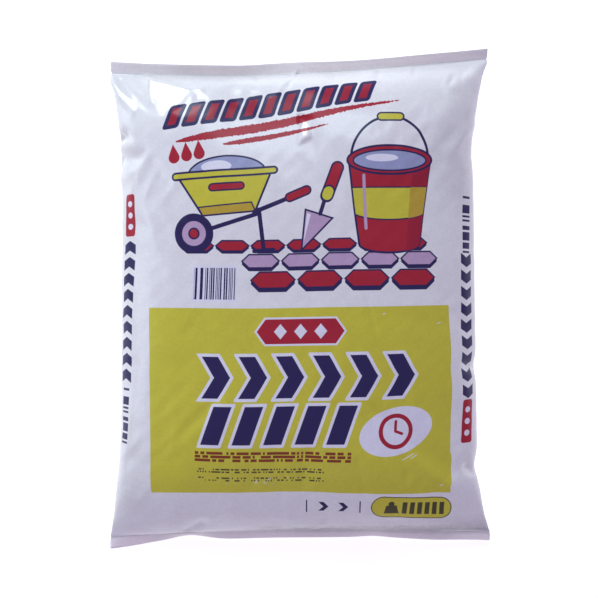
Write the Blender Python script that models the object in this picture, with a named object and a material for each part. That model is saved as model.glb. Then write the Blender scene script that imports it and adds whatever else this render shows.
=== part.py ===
"""A heat-sealed film sack of dry cement mix, lying flat on its back with its printed face up.

Metres, +Z up. +X runs across the sack, +Y towards its head. The origin is on the floor, under the
middle of the sack's box. The sack is one piece: a film tube, flattened and welded shut at both
ends, so each end is a narrow flat fin. Its solid stands for the film with the mix packed inside.
"""

import math

import bmesh
import bpy

# Half widths at the seals, and how far the head's middle lies to the right of the foot's
FOOT_HALF_WIDTH = 0.1646
HEAD_HALF_WIDTH = 0.1630
LEAN = 0.0014
FIN_LENGTH = 0.0100
RIM_THICKNESS = 0.0006

# Seal lines: place of each line's middle, how much its right end lies towards the head compared
# with its left end, and how far it is drawn in at the middle by the bulge of the fill. The head's
# is drawn in further on its left
HEAD_SEAL_Y = 0.2008
HEAD_SEAL_TILT = 0.0107
HEAD_SEAL_DRAW = 0.0077
HEAD_SEAL_SKEW = 0.18
FOOT_SEAL_Y = -0.2035
FOOT_SEAL_TILT = 0.0018
FOOT_SEAL_DRAW = 0.0053
DRAW_POWER = 2.0

# Sides: how much narrower each side is at the waist than at the seals, how much more at the head
# and less at the foot, and the distance from the seal over which it narrows there
LEFT_NARROWING = 0.0113
LEFT_TAPER = 0.0008
LEFT_REACH = {"head": 0.105, "foot": 0.105}
RIGHT_NARROWING = 0.0138
RIGHT_TAPER = 0.0015
RIGHT_REACH = {"head": 0.088, "foot": 0.066}

# Heights: the fold line at the sides, the seals and their corners, and the fill's two faces
SIDE_HEIGHT = 0.0265
SEAL_HEIGHT = 0.0185
CORNER_DROP = 0.0060
CROWN = 0.0355
BELLY = 0.0380
END_REACH = 0.086
END_POWER = 0.60
WAIST_SECTION = 3.1
SEAL_SECTION = 2.0

# Fins: how far each hangs down, or stands up where it is negative, in degrees, the share of the
# width over which it comes to that from its level left end, and its folds: place from -1 at the
# left end to 1 at the right, angle and half width. Both fins wave a little
FOOT_DROOP = 42.0
FOOT_DROOP_EASE = 0.36
FOOT_FIN_FOLDS = ((-0.58, 30.0, 0.13), (0.38, 8.0, 0.08), (0.70, -7.0, 0.14))
HEAD_DROOP = -35.0
HEAD_DROOP_EASE = 0.90
HEAD_FIN_FOLDS = ((-0.04, 25.0, 0.16),)
DROOP_START = -1.08
FIN_WAVE = 0.0010
FIN_WAVES = 3.5

# The fill's broad unevenness: height, then waves across and along
LUMPS = ((0.0013, 1.3, 1.9, 0.4), (0.0009, 2.6, 1.2, 2.1), (0.0007, 0.8, 3.4, 4.0))

# Dents in the side folds: side, place along +Y, depth, half length
SIDE_DENTS = (
    (-1, 0.136, 0.0010, 0.012),
    (1, 0.128, 0.0012, 0.018),
    (1, -0.058, 0.0020, 0.009),
    (1, -0.143, 0.0026, 0.010),
)

# Facets
COLUMNS = 34
ROWS = 38
EDGE_CROWDING = 0.35

FILM_COLOUR = (0.66, 0.66, 0.77, 1.0)
FILM_ROUGHNESS = 0.38


def clear_scene():
    for item in list(bpy.context.scene.objects):
        bpy.data.objects.remove(item, do_unlink=True)


def ease_out(t):
    """0 at 0 rising to 1 at 1 and past it, and level there."""
    return 1.0 - (1.0 - min(max(t, 0.0), 1.0)) ** 2


def smooth(t):
    """0 at 0 rising to 1 at 1, level at both and past them."""
    t = min(max(t, 0.0), 1.0)
    return t * t * (3.0 - 2.0 * t)


def crowded(t):
    """Moves evenly spaced values from -1 to 1 closer together towards both ends."""
    return (1.0 - EDGE_CROWDING) * t + EDGE_CROWDING * math.sin(math.pi * t / 2.0)


def seal_lines(u):
    """The foot and head seals' places along Y, at u from -1 at the left fold to 1 at the right."""
    drawn = 1.0 - abs(u) ** DRAW_POWER
    foot = FOOT_SEAL_Y + 0.5 * FOOT_SEAL_TILT * u + FOOT_SEAL_DRAW * drawn
    head_draw = HEAD_SEAL_DRAW * (1.0 - HEAD_SEAL_SKEW * u)
    head = HEAD_SEAL_Y + 0.5 * HEAD_SEAL_TILT * u - head_draw * drawn
    return foot, head


def seal_half_width(side, row):
    """Half width of one side, were its fold straight from the foot seal, row -1, to the head's, 1."""
    share = 0.5 * (row + 1.0)
    return FOOT_HALF_WIDTH + (HEAD_HALF_WIDTH - FOOT_HALF_WIDTH + side * LEAN) * share


def half_width(side, row, from_foot, from_head):
    """Distance of one side's fold from the middle line, by the distance from each seal."""
    if side < 0:
        narrowing, reach = LEFT_NARROWING + LEFT_TAPER * row, LEFT_REACH
    else:
        narrowing, reach = RIGHT_NARROWING + RIGHT_TAPER * row, RIGHT_REACH
    eased = min(ease_out(from_foot / reach["foot"]), ease_out(from_head / reach["head"]))
    return seal_half_width(side, row) - narrowing * eased


def side_dent(side, y):
    """How far the side's fold is pushed in at y."""
    return sum(
        depth * math.exp(-(((y - place) / length) ** 2))
        for dent_side, place, depth, length in SIDE_DENTS
        if dent_side == side
    )


def lumps(x, y):
    """Low waves of the packed mix under the film."""
    return sum(
        height * math.sin(2 * math.pi * (x * across + y * along) / 0.33 + start)
        for height, across, along, start in LUMPS
    )


def fin_droop(u, at_head):
    """How far a fin hangs down at u, in radians."""
    if at_head:
        droop, ease, folds = HEAD_DROOP, HEAD_DROOP_EASE, HEAD_FIN_FOLDS
    else:
        droop, ease, folds = FOOT_DROOP, FOOT_DROOP_EASE, FOOT_FIN_FOLDS
    droop *= smooth((u - DROOP_START) / ease)
    droop += sum(more * math.exp(-(((u - place) / width) ** 2)) for place, more, width in folds)
    return math.radians(droop)


def fin_place(u, seal_y, at_head):
    """A point of a fin's outer edge, for the seal point at u."""
    droop = fin_droop(u, at_head)
    wave = FIN_WAVE * math.sin(math.pi * FIN_WAVES * u + 0.7)
    outwards = 1.0 if at_head else -1.0
    x = u * seal_half_width(-1 if u < 0 else 1, outwards)
    z = SEAL_HEIGHT - CORNER_DROP * abs(u) ** 3 - FIN_LENGTH * math.sin(droop) + wave
    return x, seal_y + outwards * FIN_LENGTH * math.cos(droop), z


def film_place(u, row, face):
    """A point of the film: u across, row from -1 to 1 between the seals and past them on the fins.

    face is 1 for the upper film and -1 for the lower one.
    """
    foot, head = seal_lines(u)
    rim = 0.5 * RIM_THICKNESS * face
    if abs(row) > 1.0:
        x, y, z = fin_place(u, head if row > 0 else foot, row > 0)
        return x, y, z + rim

    y = foot + (head - foot) * (row + 1.0) / 2.0
    from_foot, from_head = y - foot, head - y
    side = -1 if u < 0 else 1
    half = half_width(side, row, from_foot, from_head)
    x = u * (half - side_dent(side, y) * abs(u) ** 3)

    near = min(from_foot, from_head) / END_REACH
    swell = ease_out(near) ** END_POWER
    open_end = ease_out(1.6 * near)
    section = SEAL_SECTION + (WAIST_SECTION - SEAL_SECTION) * open_end
    bulge = swell * max(1.0 - abs(u) ** section, 0.0) ** (1.0 - 0.46 * open_end)

    seal_height = SEAL_HEIGHT - CORNER_DROP * abs(u) ** 3
    middle = seal_height + (SIDE_HEIGHT - seal_height) * open_end
    if face > 0:
        return x, y, middle + rim + (CROWN + lumps(x, y)) * bulge
    return x, y, max(middle + rim - BELLY * bulge, 0.0)


def film_rows():
    """Row values from the foot fin's edge to the head fin's edge."""
    between = [crowded(-1.0 + 2.0 * k / (ROWS - 2)) for k in range(ROWS - 1)]
    return [-2.0, *between, 2.0]


def make_sack():
    """Two film faces from one grid, bridged round their rim into a closed body."""
    mesh = bmesh.new()
    rows = film_rows()
    for face in (1, -1):
        grid = bmesh.ops.create_grid(mesh, x_segments=COLUMNS, y_segments=ROWS, size=1.0)
        for vertex in grid["verts"]:
            u = crowded(vertex.co.x)
            row = rows[round((vertex.co.y + 1.0) / 2.0 * ROWS)]
            vertex.co = film_place(u, row, face)
    rim = [edge for edge in mesh.edges if edge.is_boundary]
    bmesh.ops.bridge_loops(mesh, edges=rim)
    bmesh.ops.recalc_face_normals(mesh, faces=mesh.faces)

    data = bpy.data.meshes.new("sack")
    mesh.to_mesh(data)
    mesh.free()
    data.shade_smooth()
    data.set_sharp_from_angle(angle=math.radians(60))
    sack = bpy.data.objects.new("sack", data)
    bpy.context.collection.objects.link(sack)
    return sack


def film_material():
    material = bpy.data.materials.new("film")
    material.use_nodes = True
    shader = material.node_tree.nodes["Principled BSDF"]
    shader.inputs["Base Color"].default_value = FILM_COLOUR
    shader.inputs["Roughness"].default_value = FILM_ROUGHNESS
    shader.inputs["Metallic"].default_value = 0.0
    return material


clear_scene()
make_sack().data.materials.append(film_material())
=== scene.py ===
"""Looks of a heat-sealed film sack of dry cement mix, lying flat with its printed face up.

Metres, +Z up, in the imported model's frame: +X across the sack and +Y towards its head. Places on
the print are in millimetres from the middle of the upper film.
"""
import logging
import math
from dataclasses import dataclass, field
from enum import Enum
from itertools import chain
from typing import Protocol

import bpy
import numpy as np
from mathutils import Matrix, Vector


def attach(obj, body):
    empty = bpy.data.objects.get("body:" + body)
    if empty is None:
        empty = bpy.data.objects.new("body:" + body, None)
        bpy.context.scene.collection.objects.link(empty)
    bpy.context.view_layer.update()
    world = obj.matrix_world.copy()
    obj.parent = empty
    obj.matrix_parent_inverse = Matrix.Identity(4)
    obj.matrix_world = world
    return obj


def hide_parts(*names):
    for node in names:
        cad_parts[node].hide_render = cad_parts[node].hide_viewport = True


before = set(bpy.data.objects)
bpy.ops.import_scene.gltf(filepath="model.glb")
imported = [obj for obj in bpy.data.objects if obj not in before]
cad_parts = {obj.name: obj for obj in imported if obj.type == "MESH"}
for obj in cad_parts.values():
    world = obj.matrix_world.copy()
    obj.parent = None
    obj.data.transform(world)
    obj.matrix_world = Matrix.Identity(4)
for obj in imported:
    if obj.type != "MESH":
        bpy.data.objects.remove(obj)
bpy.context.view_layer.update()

log = logging.getLogger("sack")

# How steeply a distance that only has to cut something off rises past its edge
STEEP = 60.0

# Where the lower film's middle lies on the print: half the girth round from the upper film's
BACK_MIDDLE = 329.6

Array = np.ndarray
Socket = bpy.types.NodeSocket
Point = tuple[float, float]
Colour = tuple[float, float, float]


def smooth(t: Array) -> Array:
    """Smooth step: 3t^2 - 2t^3 with t held between 0 and 1."""
    t = np.clip(t, 0.0, 1.0)
    return t * t * (3.0 - 2.0 * t)


def ease_out(t: Array) -> Array:
    """1 - (1 - t)^2 with t held between 0 and 1."""
    return 1.0 - (1.0 - np.clip(t, 0.0, 1.0)) ** 2


def arc_share(points: Array, axis: int) -> Array:
    """Running length along one axis of a grid of points, as a share of the whole length.

    Args:
        points: A grid of points, with their coordinates on the last axis.
        axis: The axis to run along.

    Returns:
        The shares, with the grid's shape.
    """
    steps = np.linalg.norm(np.diff(points, axis=axis), axis=-1)
    running = np.cumsum(steps, axis=axis)
    start = np.zeros_like(np.take(running, [0], axis=axis))
    running = np.concatenate([start, running], axis=axis)
    return running / np.take(running, [-1], axis=axis)


def halve(grid: Array, axis: int, closed: bool) -> Array:
    """Cuts each step of a grid in two along one axis, by the rule of a cubic B-spline.

    An old point moves to (before + 6 own + after) / 8 and a new one lies halfway between two.

    Args:
        grid: Points, with their coordinates on the last axis.
        axis: The axis that is cut.
        closed: True where the last point joins the first, else the two ends stay in place.

    Returns:
        The finer grid.
    """
    grid = np.moveaxis(grid, axis, 0)
    before, after = np.roll(grid, 1, 0), np.roll(grid, -1, 0)
    old, new = (before + 6.0 * grid + after) / 8.0, 0.5 * (grid + after)
    fine = np.stack([old, new], axis=1).reshape(-1, *grid.shape[1:])
    if not closed:
        fine = fine[:-1]
        fine[0], fine[-1] = grid[0], grid[-1]
    return np.moveaxis(fine, 0, axis)


class Face(Enum):
    """The two films of the flat tube."""

    UPPER = 1
    LOWER = -1


@dataclass(frozen=True)
class SideDent:
    """A dent in one side fold: its side, its place along +Y, its depth and its half length."""

    side: int
    place: float
    depth: float
    length: float


@dataclass(frozen=True)
class FinDroop:
    """How a fin hangs down along its seal, in degrees: level at the left end, then its base angle.

    It eases in from u = -start over ease_span of u, and each fold adds a bell curve: its place
    along u, its angle and its half width.
    """

    base: float
    ease_span: float
    folds: tuple[tuple[float, float, float], ...]
    start: float = 1.08

    def angle(self, u: Array) -> Array:
        """Gives the droop in radians at u, -1 at the left end and 1 at the right.

        Args:
            u: Place along the seal.

        Returns:
            The droop.
        """
        degrees = self.base * smooth((u + self.start) / self.ease_span)
        for place, more, width in self.folds:
            degrees = degrees + more * np.exp(-(((u - place) / width) ** 2))
        return np.radians(degrees)


@dataclass
class FilledForm:
    """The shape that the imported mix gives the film, the same as the solid's in the source."""

    flat_half_width: float = 0.1648
    foot_half_width: float = 0.1646
    head_half_width: float = 0.1630
    lean: float = 0.0014
    fin_length: float = 0.0100
    rim_thickness: float = 0.0006
    head_seal_y: float = 0.2008
    head_seal_tilt: float = 0.0107
    head_seal_draw: float = 0.0077
    head_seal_skew: float = 0.18
    foot_seal_y: float = -0.2035
    foot_seal_tilt: float = 0.0018
    foot_seal_draw: float = 0.0053
    draw_power: float = 2.0
    left_narrowing: float = 0.0113
    left_taper: float = 0.0008
    right_narrowing: float = 0.0138
    right_taper: float = 0.0015
    left_reach: tuple[float, float] = (0.105, 0.105)
    right_reach: tuple[float, float] = (0.066, 0.088)
    side_height: float = 0.0265
    seal_height: float = 0.0185
    corner_drop: float = 0.0060
    corner_power: int = 3
    crown: float = 0.0355
    belly: float = 0.0380
    end_reach: float = 0.086
    end_power: float = 0.60
    waist_section: float = 3.1
    seal_section: float = 2.0
    opening: float = 1.6
    flattening: float = 0.46
    foot_droop: FinDroop = FinDroop(
        42.0, 0.36, ((-0.58, 30.0, 0.13), (0.38, 8.0, 0.08), (0.70, -7.0, 0.14)))
    head_droop: FinDroop = FinDroop(-35.0, 0.90, ((-0.04, 25.0, 0.16),))
    fin_wave: float = 0.0010
    fin_waves: float = 3.5
    fin_wave_start: float = 0.7
    lumps: tuple[tuple[float, ...], ...] = (
        (0.0013, 1.3, 1.9, 0.4), (0.0009, 2.6, 1.2, 2.1), (0.0007, 0.8, 3.4, 4.0))
    lump_span: float = 0.33
    dents: tuple[SideDent, ...] = (
        SideDent(-1, 0.136, 0.0010, 0.012), SideDent(1, 0.128, 0.0012, 0.018),
        SideDent(1, -0.058, 0.0020, 0.009), SideDent(1, -0.143, 0.0026, 0.010))

    def seal_lines(self, u: Array) -> tuple[Array, Array]:
        """Gives the foot and head seals' places along Y.

        Each is a tilted line, drawn in towards the middle by draw times 1 - |u|^power, and the
        head's is drawn in further on its left, by a factor of 1 - skew u.

        Args:
            u: Place across the flat film, -1 at the left fold and 1 at the right.

        Returns:
            The foot seal's and the head seal's Y.
        """
        drawn = 1.0 - np.abs(u) ** self.draw_power
        foot = self.foot_seal_y + 0.5 * self.foot_seal_tilt * u + self.foot_seal_draw * drawn
        draw = self.head_seal_draw * (1.0 - self.head_seal_skew * u)
        head = self.head_seal_y + 0.5 * self.head_seal_tilt * u - draw * drawn
        return foot, head

    def seal_half_width(self, u: Array, row: Array) -> Array:
        """Gives the half width on u's side that a straight fold between the seals would have."""
        more = self.head_half_width - self.foot_half_width + np.where(u < 0, -self.lean, self.lean)
        return self.foot_half_width + more * 0.5 * (row + 1.0)

    def half_width(self, u: Array, row: Array, from_foot: Array, from_head: Array) -> Array:
        """Gives the distance of the fold on u's side from the middle line.

        It is the seals' half width less the narrowing, which grows by taper times the row and is
        eased out over the reach from each seal.

        Args:
            u: Place across the film, whose sign names the side.
            row: Place along it, -1 at the foot seal and 1 at the head seal.
            from_foot: Distance from the foot seal.
            from_head: Distance from the head seal.

        Returns:
            The half width in metres.
        """
        left = u < 0
        narrowing = np.where(
            left, self.left_narrowing + self.left_taper * row,
            self.right_narrowing + self.right_taper * row)
        foot_reach = np.where(left, self.left_reach[0], self.right_reach[0])
        head_reach = np.where(left, self.left_reach[1], self.right_reach[1])
        eased = np.minimum(ease_out(from_foot / foot_reach), ease_out(from_head / head_reach))
        return self.seal_half_width(u, row) - narrowing * eased

    def side_dent(self, u: Array, y: Array) -> Array:
        """Gives how far the side fold is pushed in: a bell curve for each dent on u's side.

        Args:
            u: Place across, whose sign names the side.
            y: Place along +Y.

        Returns:
            The depth in metres.
        """
        total = np.zeros(np.broadcast(u, y).shape)
        for dent in self.dents:
            bell = dent.depth * np.exp(-(((y - dent.place) / dent.length) ** 2))
            total += np.where(np.sign(u + 1e-9) == dent.side, bell, 0.0)
        return total

    def lump_height(self, x: Array, y: Array) -> Array:
        """Gives the mix's broad unevenness: a sum of plane sine waves.

        Args:
            x: Places across.
            y: Places along.

        Returns:
            The height in metres.
        """
        return sum(
            height * np.sin(2 * np.pi * (x * across + y * along) / self.lump_span + start)
            for height, across, along, start in self.lumps)

    def body(self, u: Array, row: Array, face: Face) -> Array:
        """Gives points of the filled body between the seals.

        The height is the fold's height plus or minus crown or belly times a bulge. The bulge is
        the end's swell times (1 - |u|^section)^(1 - flattening), a lens at the seals and a
        flattened oval at the waist. The floor cuts the lower film off flat.

        Args:
            u: Place across the solid, -1 to 1.
            row: Place along it, -1 at the foot seal and 1 at the head seal.
            face: Upper or lower film.

        Returns:
            Points, with the grid's shape and 3.
        """
        foot, head = self.seal_lines(u)
        y = foot + (head - foot) * (row + 1.0) / 2.0
        from_foot, from_head = y - foot, head - y
        half = self.half_width(u, row, from_foot, from_head)
        x = u * (half - self.side_dent(u, y) * np.abs(u) ** self.corner_power)
        near = np.minimum(from_foot, from_head) / self.end_reach
        swell = ease_out(near) ** self.end_power
        open_end = ease_out(self.opening * near)
        section = self.seal_section + (self.waist_section - self.seal_section) * open_end
        power = 1.0 - self.flattening * open_end
        bulge = swell * np.maximum(1.0 - np.abs(u) ** section, 0.0) ** power
        seal_height = self.seal_height - self.corner_drop * np.abs(u) ** self.corner_power
        middle = seal_height + (self.side_height - seal_height) * open_end
        rim = 0.5 * self.rim_thickness * face.value
        if face is Face.UPPER:
            z = middle + rim + (self.crown + self.lump_height(x, y)) * bulge
        else:
            z = np.maximum(middle + rim - self.belly * bulge, 0.0)
        return np.stack(np.broadcast_arrays(x, y, z), axis=-1)

    def fin(self, u: Array, out: Array, at_head: bool, face: Face) -> Array:
        """Gives points of a fin: straight out from its seal, at the droop that is read for it.

        Args:
            u: Place across, -1 to 1.
            out: Share of the fin's length out from the seal, 0 to 1.
            at_head: True for the head fin.
            face: Upper or lower film.

        Returns:
            Points, with the grid's shape and 3.
        """
        foot, head = self.seal_lines(u)
        droop = (self.head_droop if at_head else self.foot_droop).angle(u)
        wave = self.fin_wave * np.sin(np.pi * self.fin_waves * u + self.fin_wave_start) * out
        reach = self.fin_length * np.cos(droop) * out
        y = head + reach if at_head else foot - reach
        z = self.seal_height - self.corner_drop * np.abs(u) ** self.corner_power
        z = z - self.fin_length * np.sin(droop) * out + wave + 0.5 * self.rim_thickness * face.value
        x = u * self.seal_half_width(u, 1.0 if at_head else -1.0)
        return np.stack(np.broadcast_arrays(x, y, z), axis=-1)


@dataclass
class FilmGrid:
    """The film as one closed tube of rings, evenly spaced over the flat film.

    A ring starts at the left fold, crosses the upper film to the right fold and comes back under
    the sack. The rings run from the foot fin's edge to the head fin's.
    """

    form: FilledForm
    flat_length: float = 0.4280
    columns: int = 94
    rows: int = 118
    fin_rows: int = 3
    fine: int = 401

    def even_grid(self, face: Face) -> Array:
        """Spreads a face's grid evenly over its surface, as the film was before it was filled.

        A fine grid's arc length is measured along and then across, and the wanted even shares
        are read back to the form's own two parameters.

        Args:
            face: Upper or lower film.

        Returns:
            Points, rows + 1 by columns + 1 by 3.
        """
        u = row = np.sin(np.linspace(-np.pi / 2, np.pi / 2, self.fine))
        even_u, even_row = np.linspace(0, 1, self.columns + 1), np.linspace(0, 1, self.rows + 1)
        along = arc_share(self.form.body(u[None, :], row[:, None], face), 0)
        picked = np.stack([np.interp(even_row, along[:, k], row) for k in range(self.fine)], 1)
        across = arc_share(self.form.body(u[None, :], picked, face), 1)
        new_u = np.stack([np.interp(even_u, share, u) for share in across])
        new_row = np.stack([np.interp(places, u, own) for places, own in zip(new_u, picked)])
        return self.form.body(new_u, new_row, face)

    def join(self, upper: Array, lower: Array) -> Array:
        """Joins two faces' grids into rings, with the two folds shared.

        Args:
            upper: The upper film's grid.
            lower: The lower film's grid.

        Returns:
            The rings.
        """
        folds = 0.5 * (upper + lower)
        left, right = folds[:, :1], folds[:, -1:]
        return np.concatenate([left, upper[:, 1:-1], right, lower[:, -2:0:-1]], axis=1)

    def filled(self) -> Array:
        """Gives the filled tube's points, ring by ring.

        Returns:
            Points, rings by points of a ring by 3.
        """
        u = np.linspace(-1, 1, self.columns + 1)[None, :]
        out = np.linspace(1, 0, self.fin_rows + 1)[:-1, None]
        faces = {}
        for face in Face:
            foot = self.form.fin(u, out, False, face)
            head = self.form.fin(u, out[::-1], True, face)
            faces[face] = np.concatenate([foot, self.even_grid(face), head])
        return self.join(faces[Face.UPPER], faces[Face.LOWER])

    def flat(self) -> Array:
        """Gives the same points on the flat tube: a rectangle of two films and two fins.

        Returns:
            Points, with the filled tube's shape.
        """
        across = np.linspace(-1, 1, self.columns + 1) * self.form.flat_half_width
        body = np.linspace(-0.5, 0.5, self.rows + 1) * self.flat_length
        out = np.linspace(1, 0, self.fin_rows + 1)[:-1] * self.form.fin_length
        along = np.concatenate([body[0] - out, body, body[-1] + out[::-1]])
        gap = 0.5 * self.form.rim_thickness
        upper = np.stack(np.broadcast_arrays(across[None, :], along[:, None], gap), axis=-1)
        return self.join(upper, upper * (1, 1, -1))


@dataclass
class Tube:
    """Faces and film map of a closed tube of rings with flat, shut ends."""

    rings: int
    ring: int

    def faces(self) -> list[list[int]]:
        """Gives the faces: the tube's quads, then a strip that shuts each fin's edge.

        Returns:
            Each face's point numbers.
        """
        j, k = np.meshgrid(np.arange(self.rings - 1), np.arange(self.ring), indexing="ij")
        start, after = j * self.ring + k, j * self.ring + (k + 1) % self.ring
        tube = np.stack([start, after, after + self.ring, start + self.ring], -1)
        half, last = self.ring // 2, (self.rings - 1) * self.ring
        k = np.arange(1, half - 1)
        foot = np.stack([k, self.ring - k, self.ring - k - 1, k + 1], -1)
        head = foot[:, ::-1] + last
        ends = [[0, self.ring - 1, 1], [half - 1, half + 1, half]]
        head_ends = [[last + a for a in reversed(end)] for end in ends]
        return [*tube.reshape(-1, 4).tolist(), *foot.tolist(), *ends, *head.tolist(), *head_ends]

    def film_map(self, faces: list[list[int]], girth: float, along: Array) -> Array:
        """Gives each face corner's place on the film, in metres round the tube and along it.

        The film is cut open at the left fold, where a corner's place is 0 or the whole girth.

        Args:
            faces: The faces' point numbers.
            girth: Length of one ring on the film.
            along: Each ring's place along the film.

        Returns:
            One pair for each corner.
        """
        index = np.fromiter(chain.from_iterable(faces), int)
        sizes = np.fromiter(map(len, faces), int)
        k = index % self.ring
        furthest = np.repeat(np.maximum.reduceat(k, np.cumsum(sizes) - sizes), sizes)
        k = np.where((k == 0) & (furthest > self.ring // 2), self.ring, k)
        return np.stack([k * girth / self.ring, along[index // self.ring]], -1)


@dataclass
class Swelling:
    """A cloth simulation that turns the even form into loaded film.

    The flat film's lengths are the rest lengths, so the film buckles where the filled form has
    less room than the flat film needs.
    """

    frames: int = 35
    pressure: float = 3.5
    quality: int = 6
    tension: float = 60.0
    shear: float = 40.0
    bending: float = 1.0
    mass: float = 0.02
    hold: float = 0.01
    hold_stiffness: float = 5.0
    floor_hold: float = 0.9
    floor_touch: float = 0.0008
    side_margin: float = 0.012
    side_reach: float = 0.06
    damping: float = 12.0
    bending_damping: float = 1.0
    air_damping: float = 3.0

    def weights(self, grid: FilmGrid) -> Array:
        """Gives how firmly each point is held: the fins fully, the broad faces very softly.

        Args:
            grid: The film's grid.

        Returns:
            Weights from 0 to 1.
        """
        flat, filled = grid.flat(), grid.filled()
        from_side = grid.form.flat_half_width - np.abs(flat[..., 0])
        from_seal = grid.flat_length / 2 - np.abs(flat[..., 1])
        inwards = np.minimum(from_side, from_seal) - self.side_margin
        soft = self.hold * smooth(inwards / self.side_reach)
        weights = np.where(from_seal < 1e-6, 1.0, soft)
        on_floor = filled[..., 2] < self.floor_touch
        return np.where(on_floor, np.maximum(weights, self.floor_hold), weights)

    def run(self, grid: FilmGrid, start: Array) -> Array:
        """Swells the film.

        Args:
            grid: The film's grid, which gives the flat lengths.
            start: Points to start from.

        Returns:
            The swollen film's points.
        """
        data = bpy.data.meshes.new("swelling")
        rings, ring = start.shape[:2]
        data.from_pydata(start.reshape(-1, 3).tolist(), [], Tube(rings, ring).faces())
        film = bpy.data.objects.new("swelling", data)
        scene = bpy.context.scene
        scene.collection.objects.link(film)
        film.shape_key_add(name="filled")
        rest = film.shape_key_add(name="flat")
        rest.points.foreach_set("co", grid.flat().astype(np.float32).ravel())
        rest.value = 0.0
        self.add_cloth(film, rest, self.weights(grid).ravel().round(3))
        for number in range(1, self.frames + 1):
            scene.frame_set(number)
        shaped = film.evaluated_get(bpy.context.evaluated_depsgraph_get()).to_mesh()
        swollen = np.empty(start.size, np.float32)
        shaped.vertices.foreach_get("co", swollen)
        bpy.data.objects.remove(film)
        scene.frame_set(1)
        return swollen.reshape(start.shape).astype(float)

    def add_cloth(self, film: bpy.types.Object, rest: bpy.types.ShapeKey, weights: Array) -> None:
        """Sets up the film's cloth modifier.

        Args:
            film: The object to swell.
            rest: Shape key with the rest lengths.
            weights: How firmly each point is held.
        """
        group = film.vertex_groups.new(name="held")
        for weight in np.unique(weights):
            group.add(np.flatnonzero(weights == weight).tolist(), float(weight), "REPLACE")
        cloth = film.modifiers.new("Cloth", "CLOTH")
        settings = cloth.settings
        settings.quality = self.quality
        settings.mass = self.mass
        settings.tension_stiffness = settings.compression_stiffness = self.tension
        settings.shear_stiffness = self.shear
        settings.bending_stiffness = self.bending
        settings.tension_damping = settings.compression_damping = self.damping
        settings.shear_damping = self.damping
        settings.bending_damping = self.bending_damping
        settings.air_damping = self.air_damping
        settings.rest_shape_key = rest
        settings.vertex_group_mass = group.name
        settings.pin_stiffness = self.hold_stiffness
        settings.use_pressure = True
        settings.uniform_pressure_force = self.pressure
        settings.effector_weights.gravity = 0
        cloth.collision_settings.use_collision = False
        cloth.point_cache.frame_start, cloth.point_cache.frame_end = 1, self.frames
        bpy.context.scene.frame_start, bpy.context.scene.frame_end = 1, self.frames


@dataclass(frozen=True)
class Fold:
    """A ridge, or with a negative height a valley, along a line on the upper film.

    Seen from above it runs from start to end, full at its start and fading from fade_start, a
    share of its length, to its end.
    """

    start: Point
    end: Point
    height: float
    width: float
    fade_start: float = 0.55
    fade_length: float = 0.45

    def lift(self, points: Array) -> Array:
        """Gives its height at points: a bell curve across the line times a fade along it.

        Args:
            points: Points of the film.

        Returns:
            Heights in metres.
        """
        start, along = np.array(self.start), np.subtract(self.end, self.start)
        length = np.linalg.norm(along)
        share = ((points[..., :2] - start) @ along) / length ** 2
        nearest = start + np.clip(share, 0.0, 1.0)[..., None] * along
        away = np.linalg.norm(points[..., :2] - nearest, axis=-1)
        fade = 1.0 - smooth((share - self.fade_start) / self.fade_length)
        return self.height * np.exp(-((away / self.width) ** 2)) * fade


@dataclass(frozen=True)
class Facet:
    """A flat facet between creases: the film inside a convex outline, pressed onto a plane.

    The plane passes through the film at the outline's middle. It falls away at tilt degrees from
    level towards its heading, in degrees from +X. The film eases back to its own form over the
    fade, outside the outline.
    """

    corners: tuple[Point, ...]
    tilt: float
    heading: float
    fade: float = 0.0040

    def press(self, points: Array, columns: int) -> Array:
        """Gives the points' new heights: the plane's inside the outline, eased out over the fade.

        Args:
            points: Points of the film.
            columns: How many of a ring's points lie on the upper film.

        Returns:
            Heights in metres.
        """
        ring = np.array(self.corners)
        middle = ring.mean(axis=0)
        ahead = np.roll(ring, -1, 0) - ring
        normal = np.stack([-ahead[:, 1], ahead[:, 0]], -1) / np.linalg.norm(ahead, axis=1)[:, None]
        normal *= np.sign(np.sum((middle - ring) * normal, axis=1))[:, None]
        flat = points[..., :2]
        depth = np.min(np.stack([(flat - at) @ out for at, out in zip(ring, normal)]), axis=0)
        upper = np.arange(points.shape[1]) <= columns
        mask = upper * smooth(1.0 + depth / self.fade)
        near = np.exp(-np.sum((flat - middle) ** 2, axis=-1) / self.fade ** 2) * upper
        height = np.sum(near * points[..., 2]) / np.sum(near)
        slope, heading = math.tan(math.radians(self.tilt)), math.radians(self.heading)
        fall = (flat - middle) @ np.array((math.cos(heading), math.sin(heading)))
        return points[..., 2] + mask * (height - slope * fall - points[..., 2])


# What the swelling starts from: the buckles at the head's corners and the dents in the side folds
SEEDED_FOLDS = (
    Fold((-0.161, 0.189), (-0.140, 0.162), 0.0028, 0.0040),
    Fold((-0.128, 0.190), (-0.115, 0.159), 0.0024, 0.0040),
    Fold((-0.114, 0.184), (-0.091, 0.177), 0.0016, 0.0040),
    Fold((-0.153, 0.138), (-0.142, 0.141), -0.0026, 0.0042),
    Fold((-0.149, 0.123), (-0.133, 0.126), -0.0010, 0.0040),
    Fold((0.161, 0.204), (0.137, 0.173), 0.0012, 0.0090),
    Fold((0.137, 0.173), (0.113, 0.134), 0.0010, 0.0100),
    Fold((-0.097, -0.198), (-0.076, -0.185), -0.0020, 0.0040),
    Fold((0.147, -0.147), (0.138, -0.141), -0.0035, 0.0042),
    Fold((0.148, -0.059), (0.138, -0.057), -0.0022, 0.0040),
)

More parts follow.
